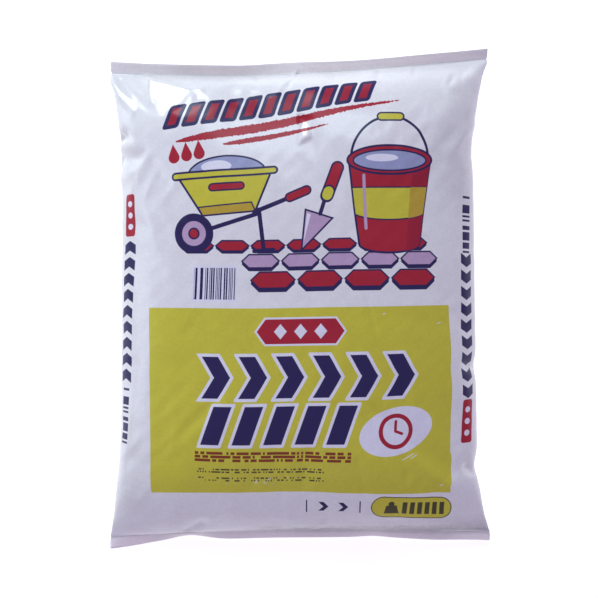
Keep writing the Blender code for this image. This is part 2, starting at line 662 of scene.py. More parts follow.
# Pressed into the swollen film: the head's two corners, the left side below the head, the panel,
# the foot, the right side's dents, and short puckers along the head seal
PRESSED_FOLDS = (
    Fold((-0.161, 0.189), (-0.140, 0.162), 0.0014, 0.0024),
    Fold((-0.153, 0.138), (-0.142, 0.141), -0.0036, 0.0034),
    Fold((-0.139, 0.133), (-0.129, 0.123), 0.0009, 0.0034),
    Fold((0.162, 0.203), (0.145, 0.186), 0.0012, 0.0045),
    Fold((0.148, 0.189), (0.120, 0.172), 0.0015, 0.0050),
    Fold((0.148, 0.148), (0.122, 0.113), 0.0013, 0.0050),
    Fold((0.131, 0.191), (0.122, 0.178), 0.0006, 0.0020),
    Fold((-0.151, 0.130), (-0.130, 0.132), 0.0009, 0.0046),
    Fold((-0.151, 0.119), (-0.127, 0.121), -0.0020, 0.0046),
    Fold((-0.150, 0.104), (-0.129, 0.110), 0.0012, 0.0060),
    Fold((-0.127, 0.120), (-0.144, 0.085), 0.0008, 0.0036),
    Fold((-0.120, 0.106), (-0.133, 0.080), 0.0009, 0.0030),
    Fold((-0.100, 0.104), (-0.114, 0.081), 0.0008, 0.0030),
    Fold((0.057, -0.002), (0.067, -0.040), -0.0006, 0.0030),
    Fold((0.086, -0.072), (0.094, -0.098), -0.0006, 0.0030),
    Fold((0.048, -0.136), (0.058, -0.174), -0.0006, 0.0030),
    Fold((0.087, -0.133), (0.092, -0.164), -0.0005, 0.0030),
    Fold((-0.096, -0.029), (-0.084, -0.018), -0.0005, 0.0036),
    Fold((-0.150, -0.132), (-0.128, -0.106), 0.0005, 0.0040),
    Fold((-0.097, -0.198), (-0.076, -0.185), -0.0012, 0.0030),
    Fold((-0.057, -0.174), (-0.083, -0.193), 0.0007, 0.0036),
    Fold((-0.107, -0.180), (-0.130, -0.199), 0.0007, 0.0040),
    Fold((-0.127, -0.156), (-0.142, -0.178), 0.0005, 0.0040),
    Fold((-0.034, -0.200), (-0.018, -0.196), 0.0009, 0.0024),
    Fold((0.012, -0.197), (0.025, -0.189), 0.0008, 0.0026),
    Fold((0.147, -0.147), (0.138, -0.141), -0.0018, 0.0034),
    Fold((0.148, -0.059), (0.138, -0.057), -0.0010, 0.0034),
    Fold((-0.034, 0.191), (-0.036, 0.185), -0.0008, 0.0022),
    Fold((-0.005, 0.191), (-0.010, 0.177), -0.0008, 0.0022),
    Fold((0.032, 0.192), (0.030, 0.183), -0.0007, 0.0022),
    Fold((0.070, 0.197), (0.067, 0.184), -0.0008, 0.0022),
    Fold((0.101, 0.198), (0.098, 0.188), -0.0008, 0.0022),
    Fold((0.132, 0.190), (0.129, 0.177), -0.0008, 0.0024),
    Fold((0.141, 0.191), (0.137, 0.178), -0.0007, 0.0024),
)

# Three that catch the window by the head's left corner, one over the brush stroke, and a dark one
# at the head seal
FACETS = (
    Facet(((-0.127, 0.189), (-0.092, 0.178), (-0.099, 0.167), (-0.114, 0.158), (-0.126, 0.178)),
          29.0, 104.0, 0.0040),
    Facet(((-0.160, 0.186), (-0.156, 0.186), (-0.138, 0.163), (-0.140, 0.159), (-0.153, 0.173)),
          29.0, 100.0, 0.0025),
    Facet(((-0.086, 0.179), (-0.082, 0.178), (-0.080, 0.170), (-0.085, 0.170)),
          28.0, 106.0, 0.0040),
    Facet(((0.003, 0.151), (0.008, 0.150), (0.008, 0.137), (0.004, 0.135)),
          31.0, 112.0, 0.0045),
    Facet(((-0.006, 0.187), (-0.010, 0.178), (-0.016, 0.175), (-0.013, 0.180)),
          36.0, 65.0, 0.0030),
)


@dataclass
class Sack:
    """The filled sack's film: swollen, refined to its final grid, and creased."""

    form: FilledForm = field(default_factory=FilledForm)
    swelling: Swelling = field(default_factory=Swelling)
    seeded: tuple[Fold, ...] = SEEDED_FOLDS
    pressed: tuple[Fold, ...] = PRESSED_FOLDS
    facets: tuple[Facet, ...] = FACETS
    ripple_height: float = 0.00003
    ripple_span: Point = (0.014, 0.050)
    grain_height: float = 0.00005
    grain_span: Point = (0.012, 0.045)
    waves: int = 14
    seed: int = 7
    seal_margin: float = 0.005
    settle_rings: int = 9
    settle_power: float = 3.0
    groove_depth: float = 0.0006
    groove_width: float = 0.0013

    def build(self) -> bpy.types.Object:
        """Builds the film's object.

        Returns:
            The object.
        """
        grid = FilmGrid(self.form)
        flat, start = grid.flat(), grid.filled()
        loose = self.swelling.weights(grid) < 0.5 * self.swelling.floor_hold
        free = loose * smooth((grid.flat_length / 2 - np.abs(flat[..., 1])) / self.seal_margin)
        upper = free * (np.arange(start.shape[1]) <= grid.columns)
        start[..., 2] += free * self.waviness(start, self.ripple_height, self.ripple_span)
        start[..., 2] += upper * sum(fold.lift(start) for fold in self.seeded)
        swollen = self.settle(self.swelling.run(grid, start), grid)
        fine = halve(halve(swollen, 0, False), 1, True)
        fine_flat = halve(halve(flat, 0, False), 1, True)
        points = self.crease(fine, grid, fine_flat[:, grid.columns, 1])
        return self.mesh(points, fine_flat)

    def settle(self, points: Array, grid: FilmGrid) -> Array:
        """Lays the side folds back on the form's outline, where the swelling moved them.

        The move is the running mean of the difference along the fold, times (|x| / fold)^power.

        Args:
            points: The swollen film.
            grid: The film's grid.

        Returns:
            The settled film.
        """
        row = np.linspace(-1, 1, grid.fine)
        settled = points.copy()
        for side, fold in ((-1.0, 0), (1.0, grid.columns)):
            wanted = self.form.body(np.full_like(row, side), row, Face.UPPER)
            swollen = points[:, fold]
            off = np.interp(swollen[:, 1], wanted[:, 1], wanted[:, 0]) - swollen[:, 0]
            off[:grid.fin_rows] = off[-grid.fin_rows:] = 0.0
            window = np.hanning(self.settle_rings + 2)[1:-1]
            off = np.convolve(np.pad(off, self.settle_rings // 2), window / window.sum(), "valid")
            share = np.clip(points[..., 0] / swollen[:, None, 0], 0.0, 1.0) ** self.settle_power
            settled[..., 0] += off[:, None] * share
        return settled

    def waviness(self, points: Array, height: float, span: Point) -> Array:
        """Gives small seeded waves, a sum of plane sines of random heading and length.

        Args:
            points: Points of the film.
            height: Each wave's height.
            span: Shortest and longest wave.

        Returns:
            Heights in metres.
        """
        rng = np.random.default_rng(self.seed)
        total = np.zeros(points.shape[:-1])
        for _ in range(self.waves):
            heading, length, phase = rng.uniform((0, span[0], 0), (2 * np.pi, span[1], 2 * np.pi))
            along = points[..., 0] * math.cos(heading) + points[..., 1] * math.sin(heading)
            total += height * np.sin(2 * np.pi * along / length + phase)
        return total

    def crease(self, points: Array, grid: FilmGrid, along: Array) -> Array:
        """Presses the folds into the upper film, a groove along each seal, and a faint grain.

        Points move along the surface's normal, the cross product of the grid's two directions.
        The facets are pressed last.

        Args:
            points: The refined film.
            grid: The film's grid.
            along: Each ring's place along the film, from its middle.

        Returns:
            The creased film.
        """
        columns = points.shape[1] // 2
        across = np.roll(points, -1, 1) - np.roll(points, 1, 1)
        normal = np.cross(across, np.gradient(points, axis=0))
        normal /= np.linalg.norm(normal, axis=-1, keepdims=True)
        from_seal = grid.flat_length / 2 - np.abs(along)[:, None]
        inside = smooth(from_seal / self.seal_margin)
        upper = np.arange(points.shape[1]) <= columns
        above = points[..., 2] > 2 * self.swelling.floor_touch
        lift = upper * sum(fold.lift(points) for fold in self.pressed)
        lift = inside * above * (lift + self.waviness(points, self.grain_height, self.grain_span))
        lift = lift - self.groove_depth * np.exp(-((from_seal / self.groove_width) ** 2))
        points = points + lift[..., None] * normal
        for facet in self.facets:
            points[..., 2] = facet.press(points, columns)
        return points

    def mesh(self, points: Array, flat: Array) -> bpy.types.Object:
        """Makes the object, with its film map, from the final grid.

        Args:
            points: The film's points.
            flat: The same points on the flat tube.

        Returns:
            The object.
        """
        rings, ring = points.shape[:2]
        tube = Tube(rings, ring)
        faces = tube.faces()
        data = bpy.data.meshes.new("sack_film")
        data.from_pydata(points.reshape(-1, 3).tolist(), [], faces)
        layer = data.uv_layers.new(name="film")
        along = flat[:, 0, 1] - flat[0, 0, 1]
        places = tube.film_map(faces, 4 * self.form.flat_half_width, along)
        layer.uv.foreach_set("vector", places.astype(np.float32).ravel())
        data.shade_smooth()
        sack = bpy.data.objects.new("sack_film", data)
        bpy.context.scene.collection.objects.link(sack)
        return sack


class Bench:
    """Lays the nodes of one node tree and joins them up, in columns with a step in pixels."""

    column_nodes: int = 24
    step: Point = (170.0, 180.0)

    def __init__(self, tree: bpy.types.NodeTree) -> None:
        """Starts on a tree.

        Args:
            tree: The tree, a material's or a group's.
        """
        self.tree = tree

    def node(
            self, kind: str, inputs: dict[int | str, object],
            **settings: object) -> bpy.types.Node:
        """Adds a node.

        Args:
            kind: The node's type.
            inputs: A value or a socket for each input.
            **settings: The node's own settings.

        Returns:
            The node.
        """
        node = self.tree.nodes.new(kind)
        column, row = divmod(len(self.tree.nodes), self.column_nodes)
        node.location = (self.step[0] * column, -self.step[1] * row)
        for name, value in settings.items():
            setattr(node, name, value)
        for key, value in inputs.items():
            if isinstance(value, Socket):
                self.tree.links.new(value, node.inputs[key])
            else:
                node.inputs[key].default_value = value
        return node

    def math(self, operation: str, *values: float | Socket, clamp: bool = False) -> Socket:
        """Adds a Math node and gives its result."""
        inputs = dict(enumerate(values))
        return self.node("ShaderNodeMath", inputs, operation=operation, use_clamp=clamp).outputs[0]

    def vector(self, operation: str, *values: tuple | Socket) -> Socket:
        """Adds a Vector Math node and gives its result, a number for a length or a dot product."""
        node = self.node("ShaderNodeVectorMath", dict(enumerate(values)), operation=operation)
        return node.outputs["Value" if operation in {"LENGTH", "DOT_PRODUCT"} else "Vector"]

    def axes(
            self, place: Socket, at: Point, turn: float = 0.0,
            scale: Point = (1.0, 1.0)) -> tuple[Socket, Socket]:
        """Gives two coordinates measured from a point, along turned axes.

        Each is a dot product with the place, whose third coordinate is 1. Vector maths alone is
        used, as the renderer works out every Mapping node of a material first and keeps them all.

        Args:
            place: Places, with 1 as their third coordinate.
            at: The point.
            turn: The axes' turn in degrees.
            scale: The unit's length on each axis.

        Returns:
            The two coordinates.
        """
        turned = math.radians(turn)
        found = []
        for angle, unit in ((turned, scale[0]), (turned + math.pi / 2, scale[1])):
            x, y = math.cos(angle) / unit, math.sin(angle) / unit
            found.append(self.vector("DOT_PRODUCT", place, (x, y, -x * at[0] - y * at[1])))
        return found[0], found[1]

    def frame(
            self, place: Socket, at: Point, turn: float = 0.0, scale: Point = (1.0, 1.0)) -> Socket:
        """Gives places measured from a point, along axes turned by an angle in degrees."""
        return self.join(*self.axes(place, at, turn, scale))

    def split(self, place: Socket) -> tuple[Socket, Socket]:
        """Gives a place's first two coordinates.

        Args:
            place: The place.

        Returns:
            The two coordinates.
        """
        return (
            self.vector("DOT_PRODUCT", place, (1.0, 0.0, 0.0)),
            self.vector("DOT_PRODUCT", place, (0.0, 1.0, 0.0)))

    def join(self, x: float | Socket, y: float | Socket) -> Socket:
        """Joins two coordinates into a place."""
        return self.node("ShaderNodeCombineXYZ", {0: x, 1: y, 2: 1.0}).outputs[0]

    def noise(
            self, place: Socket, size: float, detail: float = 2.0,
            roughness: float = 0.5) -> Socket:
        """Gives smooth noise between 0 and 1 with features of about a size in millimetres."""
        inputs = {"Vector": place, "Scale": 1.0 / size, "Detail": detail, "Roughness": roughness}
        return self.node("ShaderNodeTexNoise", inputs).outputs[0]

    def inside(self, distance: Socket, soft: float = 0.2, clamp: bool = False) -> Socket:
        """Turns a distance into a mask: 1 and more inside, 0 and less outside, over 2 soft.

        A mix holds its share between 0 and 1 by itself. A clamp here costs the renderer a value
        that it keeps until every other mask is worked out.

        Args:
            distance: The distance in millimetres.
            soft: Half the edge's width.
            clamp: True to hold the mask between 0 and 1.

        Returns:
            The mask.
        """
        return self.math("MULTIPLY_ADD", distance, -0.5 / soft, 0.5, clamp=clamp)

    def mix(self, share: float | Socket, first: object, second: object) -> Socket:
        """Mixes two colours."""
        inputs = {0: share, 6: first, 7: second}
        return self.node("ShaderNodeMix", inputs, data_type="RGBA").outputs[2]

    def blend(self, share: float | Socket, first: float | Socket, second: float | Socket) -> Socket:
        """Mixes two numbers."""
        inputs = {0: share, 2: first, 3: second}
        return self.node("ShaderNodeMix", inputs, data_type="FLOAT").outputs[0]


class MaterialBench(Bench):
    """The bench of a new material, which holds one Principled shader."""

    def __init__(self, name: str) -> None:
        """Starts a material.

        Args:
            name: The material's name.
        """
        self.material = bpy.data.materials.new(name)
        self.material.use_nodes = True
        super().__init__(self.material.node_tree)
        self.shader = self.tree.nodes["Principled BSDF"]


class Shape(Protocol):
    """A flat shape of the print."""

    def distance(self, bench: Bench, place: Socket) -> Socket:
        """Gives the distance in millimetres to its edge, negative inside.

        Args:
            bench: The bench of the tree.
            place: Places on the print.

        Returns:
            The distance.
        """


@dataclass(frozen=True)
class Oval:
    """An ellipse, with p the place and h its half axes: (|p / h| - 1) |p / h| / |p / h^2|."""

    at: Point
    half: Point
    turn: float = 0.0

    def distance(self, bench: Bench, place: Socket) -> Socket:
        """Gives the distance to its edge.

        Args:
            bench: The bench of the tree.
            place: Places on the print.

        Returns:
            The distance in millimetres.
        """
        local = bench.frame(place, self.at, self.turn, self.half)
        flat = bench.vector("MULTIPLY", local, (1.0, 1.0, 0.0))
        steep = bench.vector("MULTIPLY", flat, (1.0 / self.half[0], 1.0 / self.half[1], 0.0))
        far = bench.vector("LENGTH", flat)
        over = bench.math("DIVIDE", far, bench.math("ADD", bench.vector("LENGTH", steep), 0.0001))
        return bench.math("MULTIPLY", bench.math("SUBTRACT", far, 1.0), over)


@dataclass(frozen=True)
class Block:
    """A box with rounded corners: the length of what lies past the inner box, less the corner."""

    at: Point
    half: Point
    corner: float = 0.01
    turn: float = 0.0

    def distance(self, bench: Bench, place: Socket) -> Socket:
        """Gives the distance to its edge.

        Args:
            bench: The bench of the tree.
            place: Places on the print.

        Returns:
            The distance in millimetres.
        """
        local = bench.vector("ABSOLUTE", bench.frame(place, self.at, self.turn))
        inner = (self.half[0] - self.corner, self.half[1] - self.corner, 1.0)
        past = bench.vector("SUBTRACT", local, inner)
        outer = bench.vector("LENGTH", bench.vector("MAXIMUM", past, (0.0, 0.0, 0.0)))
        x, y = bench.split(past)
        depth = bench.math("MINIMUM", bench.math("MAXIMUM", x, y), 0.0)
        return bench.math("SUBTRACT", bench.math("ADD", outer, depth), self.corner)


def bar(start: Point, end: Point, radius: float) -> Block:
    """A round-ended bar between two points.

    Args:
        start: One end's middle.
        end: The other end's middle.
        radius: Half the bar's height.

    Returns:
        The bar.
    """
    across, along = end[0] - start[0], end[1] - start[1]
    middle = (0.5 * (start[0] + end[0]), 0.5 * (start[1] + end[1]))
    half = (0.5 * math.hypot(across, along) + radius, radius)
    return Block(middle, half, radius, math.degrees(math.atan2(along, across)))


@dataclass(frozen=True)
class Convex:
    """A convex polygon: the greatest of the distances from its edges' lines."""

    corners: tuple[Point, ...]

    def distance(self, bench: Bench, place: Socket) -> Socket:
        """Gives the distance to its edge, from dot products with each edge's normal.

        Args:
            bench: The bench of the tree.
            place: Places on the print.

        Returns:
            The distance in millimetres.
        """
        ring = np.array(self.corners)
        along = np.roll(ring, -1, 0) - ring
        normal = np.stack([along[:, 1], -along[:, 0]], -1) / np.linalg.norm(along, axis=1)[:, None]
        reach = np.sum(normal * ring, axis=1)
        if np.mean(normal @ ring.mean(0) - reach) > 0:
            normal, reach = -normal, -reach
        total = None
        for (x, y), far in zip(normal.tolist(), reach.tolist()):
            edge = bench.vector("DOT_PRODUCT", place, (x, y, -far))
            total = edge if total is None else bench.math("MAXIMUM", total, edge)
        return total


@dataclass(frozen=True)
class Joined:
    """The union of some shapes: the least of their distances."""

    shapes: tuple[Shape, ...]

    def distance(self, bench: Bench, place: Socket) -> Socket:
        """Gives the distance to its edge.

        Args:
            bench: The bench of the tree.
            place: Places on the print.

        Returns:
            The distance in millimetres.
        """
        total = self.shapes[0].distance(bench, place)
        for shape in self.shapes[1:]:
            total = bench.math("MINIMUM", total, shape.distance(bench, place))
        return total


@dataclass(frozen=True)
class Shared:
    """What two shapes share, or with hollow set what the first has outside the second."""

    first: Shape
    second: Shape
    hollow: bool = False

    def distance(self, bench: Bench, place: Socket) -> Socket:
        """Gives the distance to its edge.

        Args:
            bench: The bench of the tree.
            place: Places on the print.

        Returns:
            The distance in millimetres.
        """
        second = self.second.distance(bench, place)
        if self.hollow:
            second = bench.math("MULTIPLY", second, -1.0)
        return bench.math("MAXIMUM", self.first.distance(bench, place), second)


@dataclass(frozen=True)
class Row:
    """One shape repeated along a line, drawn at the row's middle and centred on 0.

    The place along the row less the nearest shape's is the place in the shape. A slant moves what
    lies towards the head to the right, by slant times the place across the row.
    """

    at: Point
    turn: float
    step: float
    count: int
    shape: Shape
    slant: float = 0.0

    def distance(self, bench: Bench, place: Socket) -> Socket:
        """Gives the distance to its nearest shape's edge.

        The shape's number is x / step + (count - 1) / 2, rounded and held to those that there are.

        Args:
            bench: The bench of the tree.
            place: Places on the print.

        Returns:
            The distance in millimetres.
        """
        x, y = bench.axes(place, self.at, self.turn)
        if self.slant:
            x = bench.math("MULTIPLY_ADD", y, -self.slant, x)
        far = 0.5 * (self.count - 1)
        number = bench.math("ROUND", bench.math("MULTIPLY_ADD", x, 1.0 / self.step, far))
        number = bench.math("MAXIMUM", bench.math("MINIMUM", number, self.count - 1.0), 0.0)
        start = bench.math("MULTIPLY_ADD", number, -self.step, far * self.step)
        return self.shape.distance(bench, bench.join(bench.math("ADD", x, start), y))


@dataclass(frozen=True)
class Bend:
    """A bar across the line, bent at its middle so that it points along the line.

    It holds what has |x + lean (|y| - half height / 2)| within its half width.
    """

    half_width: float
    half_height: float
    lean: float

    def distance(self, bench: Bench, place: Socket) -> Socket:
        """Gives the distance to its edge.

        Args:
            bench: The bench of the tree.
            place: Places on the print.

        Returns:
            The distance in millimetres.
        """
        x, y = bench.split(place)
        height = bench.math("ABSOLUTE", y)
        centred = bench.math("ADD", x, -0.5 * self.lean * self.half_height)
        bent = bench.math("ABSOLUTE", bench.math("MULTIPLY_ADD", height, self.lean, centred))
        square = 1.0 / math.hypot(1.0, self.lean)
        side = bench.math("MULTIPLY_ADD", bent, square, -self.half_width * square)
        return bench.math("MAXIMUM", side, bench.math("SUBTRACT", height, self.half_height))


@dataclass(frozen=True)
class Stroke:
    """A dry brush's stroke: thickest near its start, with edges frayed by noise of a fine grain."""

    start: Point
    end: Point
    half_height: float
    fray: float = 1.5
    taper: float = 0.45
    grain: float = 1.9

    def distance(self, bench: Bench, place: Socket) -> Socket:
        """Gives |y| less the half height times sqrt(1 - s^2) (1 - taper s), plus the fraying.

        Here s is the place along the stroke, from -1 at its start to 1 at its end.

        Args:
            bench: The bench of the tree.
            place: Places on the print.

        Returns:
            The distance in millimetres.
        """
        across, along = self.end[0] - self.start[0], self.end[1] - self.start[1]
        middle = (0.5 * (self.start[0] + self.end[0]), 0.5 * (self.start[1] + self.end[1]))
        local = bench.frame(place, middle, math.degrees(math.atan2(along, across)))
        x, y = bench.split(local)
        share = bench.math("DIVIDE", x, 0.5 * math.hypot(across, along))
        squared = bench.math("MULTIPLY", share, share)
        round_end = bench.math("SQRT", bench.math("MULTIPLY_ADD", squared, -1.0, 1.0))
        thin = bench.math("MULTIPLY_ADD", share, -self.taper * self.half_height, self.half_height)
        height = bench.math("MULTIPLY", round_end, thin)
        rough = bench.noise(local, self.grain, detail=3.0, roughness=0.6)
        fray = bench.math("MULTIPLY_ADD", rough, self.fray, -0.5 * self.fray)
        edge = bench.math("SUBTRACT", bench.math("ABSOLUTE", y), height)
        past = bench.math("MULTIPLY_ADD", bench.math("ABSOLUTE", share), STEEP, -STEEP)
        return bench.math("MAXIMUM", bench.math("ADD", edge, fray), past)


@dataclass(frozen=True)
class Dashes:
    """Rows of dashes of uneven length: each cell of a row is filled or left open by chance.

    There are some rows at a pitch, of cells of one length, and fill is the share that is filled.
    """

    at: Point
    half_length: float
    rows: int
    pitch: float
    half_height: float
    cell: float
    fill: float = 0.5
    turn: float = 0.0

    def distance(self, bench: Bench, place: Socket) -> Socket:
        """Gives the greatest of the row's, the cell's and the whole block's distances.

        The row's number is the floor of y / pitch + rows / 2, held to the rows that there are.

        Args:
            bench: The bench of the tree.
            place: Places on the print.

        Returns:
            The distance in millimetres.
        """
        x, y = bench.axes(place, self.at, self.turn)
        row = bench.math("FLOOR", bench.math("MULTIPLY_ADD", y, 1.0 / self.pitch, 0.5 * self.rows))
        row = bench.math("MAXIMUM", bench.math("MINIMUM", row, self.rows - 1.0), 0.0)
        middle = 0.5 * (self.rows - 1) * self.pitch
        from_row = bench.math("ADD", bench.math("MULTIPLY_ADD", row, -self.pitch, middle), y)
        band = bench.math("SUBTRACT", bench.math("ABSOLUTE", from_row), self.half_height)
        cell = bench.math("FLOOR", bench.math("DIVIDE", x, self.cell))
        inputs = {"Vector": bench.join(cell, row)}
        chance = bench.node("ShaderNodeTexWhiteNoise", inputs).outputs[0]
        gap = bench.math("MULTIPLY_ADD", chance, STEEP, -STEEP * self.fill)
        ends = bench.math("SUBTRACT", bench.math("ABSOLUTE", x), self.half_length)
        return bench.math("MAXIMUM", bench.math("MAXIMUM", band, gap), ends)


@dataclass(frozen=True)
class Ink:
    """One ink of the print: its reflectance."""

    name: str
    colour: Colour


YELLOW = Ink("yellow", (0.62, 0.57, 0.050))
RED = Ink("red", (0.41, 0.018, 0.033))
DEEP_RED = Ink("deep red", (0.34, 0.014, 0.034))
NAVY = Ink("navy", (0.024, 0.018, 0.085))
WHITE = Ink("white", (0.80, 0.79, 0.83))
SLATE = Ink("slate", (0.33, 0.36, 0.52))
ROSE = Ink("rose", (0.52, 0.36, 0.50))
OCHRE = Ink("ochre", (0.52, 0.36, 0.040))
RUST = Ink("rust", (0.24, 0.045, 0.014))
OLIVE = Ink("olive", (0.075, 0.066, 0.022))


@dataclass(frozen=True)
class Printed:
    """A shape in one ink, with an outline in another where it has one."""

    shape: Shape
    ink: Ink
    line: Ink | None = None
    line_width: float = 1.5

    def group(self) -> bpy.types.NodeTree:
        """Gives the shape as a node group, which takes a colour and a place and gives a colour.

        A group for each shape keeps every tree small, and small trees are quick to build.

        Returns:
            The group.
        """
        bench = Bench(bpy.data.node_groups.new(f"{self.ink.name} print", "ShaderNodeTree"))
        sockets = (
            ("Colour", "INPUT", "NodeSocketColor"), ("Place", "INPUT", "NodeSocketVector"),
            ("Colour", "OUTPUT", "NodeSocketColor"))
        for name, way, kind in sockets:
            bench.tree.interface.new_socket(name, in_out=way, socket_type=kind)
        given = bench.node("NodeGroupInput", {})
        colour, place = given.outputs[0], given.outputs[1]
        distance = self.shape.distance(bench, place)
        if self.line:
            half = 0.5 * self.line_width
            outer = bench.inside(bench.math("SUBTRACT", distance, half))
            colour = bench.mix(outer, colour, (*self.line.colour, 1.0))
            distance = bench.math("ADD", distance, half)
        colour = bench.mix(bench.inside(distance), colour, (*self.ink.colour, 1.0))
        bench.node("NodeGroupOutput", {0: colour})
        return bench.tree


def wheelbarrow() -> list[Printed]:
    """A loaded wheelbarrow seen from its side.

    Returns:
        What is printed.
    """
    tray = Convex(((-104.0, 106.0), (-24.0, 111.0), (-37.0, 77.0), (-82.0, 73.0)))
    base = Convex(((-82.0, 73.0), (-37.0, 77.0), (-40.5, 84.5), (-86.0, 80.0)))
    wheel = (-90.0, 58.0)
    return [
        Printed(bar((-34.0, 78.0), (-30.0, 44.0), 1.8), NAVY),
        Printed(bar((-38.0, 43.0), (-22.0, 44.0), 1.8), NAVY),
        Printed(bar((-88.0, 58.0), (-34.0, 75.0), 1.8), NAVY),
        Printed(Oval((-62.0, 109.0), (33.0, 15.0), 3.5), SLATE, NAVY),
        Printed(Oval((-71.0, 115.0), (13.0, 5.0), 3.5), WHITE),
        Printed(tray, YELLOW, NAVY, 1.8),
        Printed(base, OCHRE, NAVY, 1.2),
        Printed(bar((-74.0, 97.0), (-50.0, 98.5), 3.0), RED, NAVY, 1.4),
        Printed(bar((-106.0, 106.5), (-22.0, 111.7), 2.8), YELLOW, NAVY, 1.8),
        Printed(bar((-38.0, 76.0), (0.0, 91.0), 1.9), NAVY),
        Printed(bar((-8.0, 87.9), (6.0, 93.3), 3.6), RED, NAVY),
        Printed(Oval(wheel, (17.0, 17.0)), NAVY),
        Printed(Oval(wheel, (10.5, 10.5)), ROSE),
        Printed(Oval(wheel, (4.4, 4.4)), RED, NAVY),
    ]


def bucket() -> list[Printed]:
    """A round bucket of mixed mortar with its bail up.

    Returns:
        What is printed.
    """
    ring = Shared(Oval((77.0, 117.0), (34.5, 38.0)), Oval((77.0, 117.0), (32.3, 35.8)), hollow=True)
    bail = Shared(ring, Block((77.0, 143.0), (44.0, 26.0)))
    side = Joined((
        Convex(((41.5, 117.0), (112.5, 117.0), (103.0, 47.0), (51.0, 47.0))),
        Oval((77.0, 47.0), (26.0, 7.5))))
    band = Joined((
        Shared(side, Block((77.0, 84.0), (44.0, 10.0))),
        Shared(side, Oval((77.0, 74.0), (31.0, 7.0)))))
    shade = Shared(side, Convex(((97.0, 117.0), (113.0, 117.0), (104.0, 38.0), (91.0, 38.0))))
    return [
        Printed(bail, NAVY),
        Printed(bar((69.0, 154.0), (85.0, 154.0), 3.4), YELLOW, NAVY),
        Printed(side, RED, NAVY, 1.8),
        Printed(shade, DEEP_RED),
        Printed(band, YELLOW, NAVY, 1.2),
        Printed(Shared(band, shade), OCHRE),
        Printed(Oval((77.0, 117.0), (36.5, 12.0)), RED, NAVY, 1.8),
        Printed(Oval((77.0, 116.5), (31.5, 8.6)), SLATE, NAVY, 1.4),
        Printed(Oval((70.0, 118.6), (14.0, 3.2)), WHITE),
        Printed(bar((57.0, 60.0), (54.5, 104.0), 1.3), ROSE),
    ]


def trowel() -> list[Printed]:
    """A pointing trowel, blade down.

    Returns:
        What is printed.
    """
    return [
        Printed(Convex(((2.0, 43.0), (5.5, 77.0), (28.5, 69.0))), ROSE, NAVY),
        Printed(Convex(((3.6, 49.0), (6.8, 74.0), (10.0, 72.9))), WHITE),
        Printed(bar((18.0, 73.0), (21.5, 84.0), 1.7), NAVY),
        Printed(bar((23.5, 88.0), (32.0, 111.0), 5.0), RED, NAVY),
        Printed(bar((23.8, 88.6), (24.8, 91.4), 5.0), YELLOW, NAVY),
    ]


def pavers() -> list[Printed]:
    """Rows of six-sided paving slabs, lying in perspective, each row nearer and larger.

    A slab has a half width, a half depth and a share of its width between its far corners, and
    its navy edge shows below it.

    Returns:
        What is printed.
    """
    rows = []
    for at, count, wide, deep, ink in (
            ((4.0, 47.5), 7, 14.2, 4.4, RED), ((35.0, 34.5), 5, 15.8, 5.6, ROSE),
            ((38.0, 18.5), 4, 18.6, 6.8, RED)):
        flat, thick, step = 0.62 * wide, 0.5 * deep, 2.14 * wide
        slab = Convex((
            (-wide, 0.0), (-flat, deep), (flat, deep), (wide, 0.0), (flat, -deep), (-flat, -deep)))
        edge = Convex((
            (-wide, -thick), (-wide, 0.0), (wide, 0.0), (wide, -thick), (flat, -deep - thick),
            (-flat, -deep - thick)))
        rows.append(Printed(Row(at, 0.0, step, count, edge), NAVY))
        rows.append(Printed(Row(at, 0.0, step, count, slab), ink, NAVY, 1.3))
    return rows


def slanted_band() -> list[Printed]:
    """A tilted row of slanted blocks over dry-brush strokes, and three drops.

    Returns:
        What is printed.
    """
    drop = Joined((Oval((0.0, -2.0), (4.8, 4.8)), Convex(((-4.4, 0.2), (0.0, 10.0), (4.4, 0.2)))))
    return [
        Printed(Row((-27.0, 170.5), 6.9, 16.6, 11, Block((0.0, 0.0), (5.4, 9.6), 0.9), 0.42),
                DEEP_RED, NAVY, 3.6),
        Printed(Stroke((-107.0, 137.0), (85.0, 170.0), 3.7, 3.4), RED),
        Printed(Stroke((-66.0, 134.0), (24.0, 149.0), 2.2, 2.2), RED),
        Printed(Row((-97.0, 126.5), 8.0, 11.0, 3, drop), RED),
    ]


